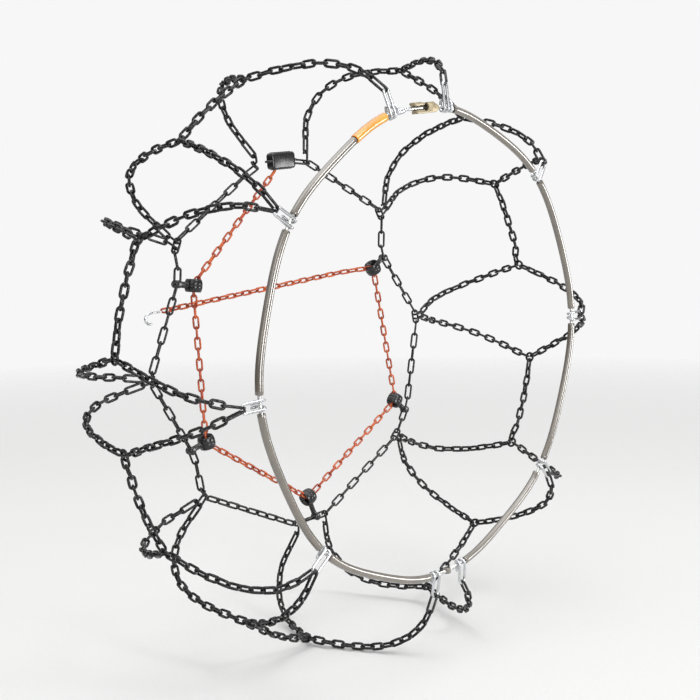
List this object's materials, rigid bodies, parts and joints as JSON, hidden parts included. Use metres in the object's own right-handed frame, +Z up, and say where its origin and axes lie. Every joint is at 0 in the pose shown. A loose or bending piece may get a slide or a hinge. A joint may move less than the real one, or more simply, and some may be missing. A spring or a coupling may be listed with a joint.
{
  "type": "tyre snow chain",
  "caption": "Tyre snow chain: a sleeved cable hoop with wire hooks, a net of fine chain across the tread, and an outer side chain with a tension chain and lock.",
  "frame": {"origin": "on the axle line, midway between the hoop and the tension chain's tail", "axes": "+Y along the axle, from the cable hoop on the car's side towards the side chain on the outside; +Z up; +X completes the right-handed frame"},
  "size_m": [0.6905, 0.2494, 0.6782],
  "materials": {
    "black_chain": "black, hardened, glossy highlights",
    "red_chain": "red-orange lacquer",
    "zinc_wire": "bright zinc",
    "yellow_zinc": "yellow passivated zinc",
    "cable_steel": "stranded bare steel",
    "grey_sleeve": "satin warm grey",
    "orange_sleeve": "satin orange",
    "black_plastic": "satin black"
  },
  "bodies": {
    "hoop": {"cable_ferrule": "zinc_wire", "coupling": "yellow_zinc", "end_stud": "zinc_wire", "hoop_cable": "cable_steel", "sleeve_grey_1": "grey_sleeve", "sleeve_grey_2": "grey_sleeve", "sleeve_grey_3": "grey_sleeve", "sleeve_grey_4": "grey_sleeve", "sleeve_grey_5": "grey_sleeve", "sleeve_grey_6": "grey_sleeve", "sleeve_grey_7": "grey_sleeve", "sleeve_grey_8": "grey_sleeve", "sleeve_grey_9": "grey_sleeve", "sleeve_orange": "orange_sleeve"},
    "hook_1": {"inner_hook_1": "zinc_wire"},
    "hook_2": {"inner_hook_2": "zinc_wire"},
    "hook_3": {"inner_hook_3": "zinc_wire"},
    "hook_4": {"inner_hook_4": "zinc_wire"},
    "hook_5": {"inner_hook_5": "zinc_wire"},
    "hook_6": {"inner_hook_6": "zinc_wire"},
    "hook_7": {"inner_hook_7": "zinc_wire"},
    "hook_8": {"inner_hook_8": "zinc_wire"},
    "hook_9": {"inner_hook_9": "zinc_wire"},
    "hook_10": {"inner_hook_10": "zinc_wire"},
    "tread_section_1": {"cross_chain_1a": "black_chain", "cross_chain_1b": "black_chain", "tread_chain_1": "black_chain"},
    "tread_section_2": {"cross_chain_2a": "black_chain", "cross_chain_2b": "black_chain", "tread_chain_2": "black_chain"},
    "tread_section_3": {"cross_chain_3a": "black_chain", "cross_chain_3b": "black_chain", "tread_chain_3": "black_chain"},
    "tread_section_4": {"cross_chain_4a": "black_chain", "cross_chain_4b": "black_chain", "tread_chain_4": "black_chain"},
    "tread_section_5": {"cross_chain_5a": "black_chain", "cross_chain_5b": "black_chain", "tread_chain_5": "black_chain"},
    "tread_section_6": {"cross_chain_6a": "black_chain", "cross_chain_6b": "black_chain", "tread_chain_6": "black_chain"},
    "tread_section_7": {"cross_chain_7a": "black_chain", "cross_chain_7b": "black_chain", "tread_chain_7": "black_chain"},
    "tread_section_8": {"cross_chain_8a": "black_chain", "cross_chain_8b": "black_chain", "tread_chain_8": "black_chain"},
    "cable_end": {"cable_end": "cable_steel"},
    "outer_side": {"side_chain": "black_chain", "tension_chain": "red_chain", "lock_body": "black_plastic", "guide_1": "black_plastic", "guide_2": "black_plastic", "guide_3": "black_plastic", "guide_4": "black_plastic", "guide_5": "black_plastic"},
    "lock_lever": {"lock_lever": "zinc_wire"},
    "tension_tail": {"tension_tail": "red_chain"},
    "end_hook": {"end_hook": "zinc_wire"}
  },
  "joints": [
    {"name": "hook_1_swing", "type": "hinge", "parent": "hoop", "child": "hook_1", "pos_m": [-0.07154, -0.116, 0.25802], "axis": [-0.9498, 0, -0.313], "range_deg": [-5, 5]},
    {"name": "hook_2_swing", "type": "hinge", "parent": "hoop", "child": "hook_2", "pos_m": [-0.21913, -0.116, 0.14504], "axis": [-0.5489, 0, -0.8359], "range_deg": [-5, 5]},
    {"name": "hook_3_swing", "type": "hinge", "parent": "hoop", "child": "hook_3", "pos_m": [-0.26206, -0.116, -0.02754], "axis": [0.1045, 0, -0.9945], "range_deg": [-5, 5]},
    {"name": "hook_4_swing", "type": "hinge", "parent": "hoop", "child": "hook_4", "pos_m": [-0.17872, -0.116, -0.18832], "axis": [0.7537, 0, -0.6572], "range_deg": [-5, 5]},
    {"name": "hook_5_swing", "type": "hinge", "parent": "hoop", "child": "hook_5", "pos_m": [-0.00438, -0.116, -0.25068], "axis": [0.9999, 0, 0.0172], "range_deg": [-5, 5]},
    {"name": "hook_6_swing", "type": "hinge", "parent": "hoop", "child": "hook_6", "pos_m": [0.04118, -0.116, -0.24611], "axis": [0.9835, 0, 0.1811], "range_deg": [-5, 5]},
    {"name": "hook_7_swing", "type": "hinge", "parent": "hoop", "child": "hook_7", "pos_m": [0.20395, -0.116, -0.15367], "axis": [0.6589, 0, 0.7522], "range_deg": [-5, 5]},
    {"name": "hook_8_swing", "type": "hinge", "parent": "hoop", "child": "hook_8", "pos_m": [0.27057, -0.116, 0.02846], "axis": [-0.0314, 0, 0.9995], "range_deg": [-5, 5]},
    {"name": "hook_9_swing", "type": "hinge", "parent": "hoop", "child": "hook_9", "pos_m": [0.19222, -0.116, 0.20255], "axis": [-0.7287, 0, 0.6849], "range_deg": [-5, 5]},
    {"name": "hook_10_swing", "type": "hinge", "parent": "hoop", "child": "hook_10", "pos_m": [0.01664, -0.116, 0.27174], "axis": [-0.9996, 0, 0.0284], "range_deg": [-5, 5]},
    {"name": "tread_section_1_unfold", "type": "hinge", "parent": "hoop", "child": "tread_section_1", "pos_m": [-0.16, -0.116, 0.22174], "axis": [0.7823, 0, 0.6229], "range_deg": [0, 45]},
    {"name": "tread_section_2_unfold", "type": "hinge", "parent": "hoop", "child": "tread_section_2", "pos_m": [-0.26299, -0.116, 0.06419], "axis": [0.2411, 0, 0.9705], "range_deg": [0, 45]},
    {"name": "tread_section_3_unfold", "type": "hinge", "parent": "hoop", "child": "tread_section_3", "pos_m": [-0.24068, -0.116, -0.11847], "axis": [-0.4602, 0, 0.8878], "range_deg": [0, 45]},
    {"name": "tread_section_4_unfold", "type": "hinge", "parent": "hoop", "child": "tread_section_4", "pos_m": [-0.09941, -0.116, -0.24102], "axis": [-0.9414, 0, 0.3372], "range_deg": [0, 45]},
    {"name": "tread_section_5_unfold", "type": "hinge", "parent": "hoop", "child": "tread_section_5", "pos_m": [0.13397, -0.116, -0.21996], "axis": [-0.8695, 0, -0.4939], "range_deg": [0, 45]},
    {"name": "tread_section_6_unfold", "type": "hinge", "parent": "hoop", "child": "tread_section_6", "pos_m": [0.25877, -0.116, -0.07031], "axis": [-0.3432, 0, -0.9393], "range_deg": [0, 45]},
    {"name": "tread_section_7_unfold", "type": "hinge", "parent": "hoop", "child": "tread_section_7", "pos_m": [0.25213, -0.116, 0.12486], "axis": [0.4105, 0, -0.9119], "range_deg": [0, 45]},
    {"name": "tread_section_8_unfold", "type": "hinge", "parent": "hoop", "child": "tread_section_8", "pos_m": [0.11323, -0.116, 0.26034], "axis": [0.923, 0, -0.3847], "range_deg": [0, 45]},
    {"name": "cable_end_release", "type": "hinge", "parent": "hoop", "child": "cable_end", "pos_m": [-0.0485, -0.116, 0.26512], "axis": [0.1352, 0, -0.9908], "range_deg": [0, 70]},
    {"name": "outer_side_shift", "type": "slide", "parent": "hoop", "child": "outer_side", "axis": [0, 1, 0], "range_m": [0, 0.06]},
    {"name": "lock_lever_lift", "type": "hinge", "parent": "outer_side", "child": "lock_lever", "pos_m": [-0.03297, 0.1088, 0.22378], "axis": [-0.1045, 0, 0.9945], "range_deg": [0, 95]},
    {"name": "tension_tail_drop", "type": "hinge", "parent": "outer_side", "child": "tension_tail", "pos_m": [0.13538, 0.1235, 0.09129], "axis": [0, -1, 0], "range_deg": [0, 80]},
    {"name": "end_hook_turn", "type": "hinge", "parent": "tension_tail", "child": "end_hook", "pos_m": [-0.19988, 0.1235, 0.04984], "axis": [0, -1, 0], "range_deg": [-60, 60]}
  ]
}
